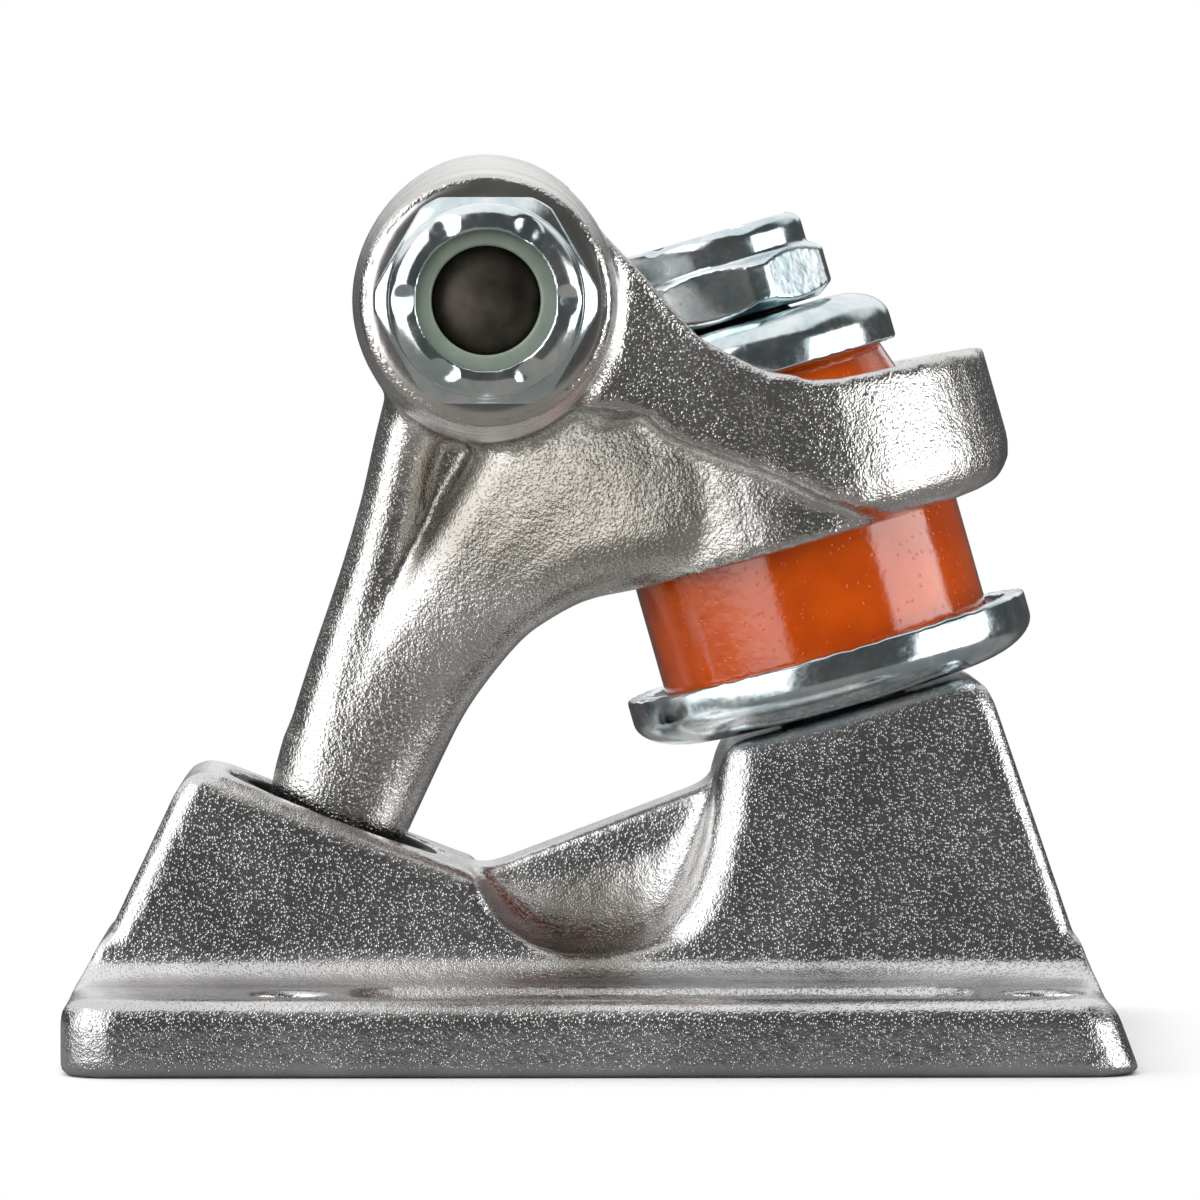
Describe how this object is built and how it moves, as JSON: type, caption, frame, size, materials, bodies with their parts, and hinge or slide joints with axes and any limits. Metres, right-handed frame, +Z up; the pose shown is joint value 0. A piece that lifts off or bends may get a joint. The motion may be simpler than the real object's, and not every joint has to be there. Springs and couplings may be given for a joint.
{
  "type": "skateboard truck",
  "caption": "Skateboard truck with a cast baseplate, a steering hanger on a tilted kingpin with two urethane bushings, and an axle with lock nuts.",
  "frame": {"origin": "middle of the baseplate's underside", "axes": "+Z up from the underside, +Y along the axle, +X towards the kingpin"},
  "size_m": [0.0768, 0.2134, 0.0658],
  "materials": {
    "cast_aluminium": "raw tumbled aluminium casting with bright glitter and worn edges",
    "zinc_plate": "bright zinc-plated steel, slightly blue",
    "axle_steel": "plain steel, satin",
    "dark_steel": "dark oxide steel",
    "orange_urethane": "glossy translucent orange cast urethane",
    "dark_urethane": "dark satin urethane",
    "pale_nylon": "pale grey-green translucent nylon"
  },
  "bodies": {
    "base": {"baseplate": "cast_aluminium", "pivot_cup": "dark_urethane", "kingpin": "dark_steel", "bottom_washer": "zinc_plate", "bottom_bushing": "orange_urethane", "top_bushing": "orange_urethane", "top_washer": "zinc_plate"},
    "hanger": {"hanger": "cast_aluminium", "axle": "axle_steel"},
    "kingpin_nut_ring": {"kingpin_nut_insert": "pale_nylon"},
    "kingpin_nut": {"kingpin_nut": "zinc_plate"},
    "axle_nut_ring_left": {"axle_nut_insert_left": "pale_nylon"},
    "axle_nut_left": {"axle_nut_left": "zinc_plate"},
    "speed_ring_left_inner": {"speed_ring_left_inner": "zinc_plate"},
    "speed_ring_left_outer": {"speed_ring_left_outer": "zinc_plate"},
    "axle_nut_ring_right": {"axle_nut_insert_right": "pale_nylon"},
    "axle_nut_right": {"axle_nut_right": "zinc_plate"},
    "speed_ring_right_inner": {"speed_ring_right_inner": "zinc_plate"},
    "speed_ring_right_outer": {"speed_ring_right_outer": "zinc_plate"}
  },
  "joints": [
    {"name": "steer", "type": "hinge", "parent": "base", "child": "hanger", "pos_m": [-0.0216, 0, 0.0106], "axis": [0.7617, 0, 0.6479], "range_deg": [-18, 18], "stiffness_Nm_per_rad": 8, "deforming": ["bottom_bushing", "top_bushing"]},
    {"name": "kingpin_nut_travel", "type": "slide", "parent": "base", "child": "kingpin_nut_ring", "axis": [-0.2756, 0, 0.9613], "range_m": [0, 0.0032]},
    {"name": "kingpin_nut_turn", "type": "hinge", "parent": "kingpin_nut_ring", "child": "kingpin_nut", "pos_m": [0.0169, 0, 0.0296], "axis": [-0.2756, 0, 0.9613], "range_deg": [0, 1080]},
    {"name": "axle_nut_left_travel", "type": "slide", "parent": "hanger", "child": "axle_nut_ring_left", "axis": [0, -1, 0], "range_m": [-0.0064, 0.0064], "deforming": ["axle_nut_insert_left"]},
    {"name": "axle_nut_left_turn", "type": "hinge", "parent": "axle_nut_ring_left", "child": "axle_nut_left", "pos_m": [-0.0081, 0, 0.055], "axis": [0, -1, 0], "range_deg": [-2160, 2160]},
    {"name": "speed_ring_left_inner_slide", "type": "slide", "parent": "hanger", "child": "speed_ring_left_inner", "axis": [0, -1, 0], "range_m": [0, 0.01]},
    {"name": "speed_ring_left_outer_slide", "type": "slide", "parent": "axle_nut_ring_left", "child": "speed_ring_left_outer", "axis": [0, 1, 0], "range_m": [0, 0.005]},
    {"name": "axle_nut_right_travel", "type": "slide", "parent": "hanger", "child": "axle_nut_ring_right", "axis": [0, 1, 0], "range_m": [-0.0064, 0.0064], "deforming": ["axle_nut_insert_right"]},
    {"name": "axle_nut_right_turn", "type": "hinge", "parent": "axle_nut_ring_right", "child": "axle_nut_right", "pos_m": [-0.0081, 0, 0.055], "axis": [0, 1, 0], "range_deg": [-2160, 2160]},
    {"name": "speed_ring_right_inner_slide", "type": "slide", "parent": "hanger", "child": "speed_ring_right_inner", "axis": [0, 1, 0], "range_m": [0, 0.01]},
    {"name": "speed_ring_right_outer_slide", "type": "slide", "parent": "axle_nut_ring_right", "child": "speed_ring_right_outer", "axis": [0, -1, 0], "range_m": [0, 0.005]}
  ],
  "couplings": [
    {"joint": "kingpin_nut_travel", "follows": "kingpin_nut_turn", "m_per_rad": 0.00016844},
    {"joint": "axle_nut_left_travel", "follows": "axle_nut_left_turn", "m_per_rad": 0.00016844},
    {"joint": "axle_nut_right_travel", "follows": "axle_nut_right_turn", "m_per_rad": 0.00016844}
  ]
}
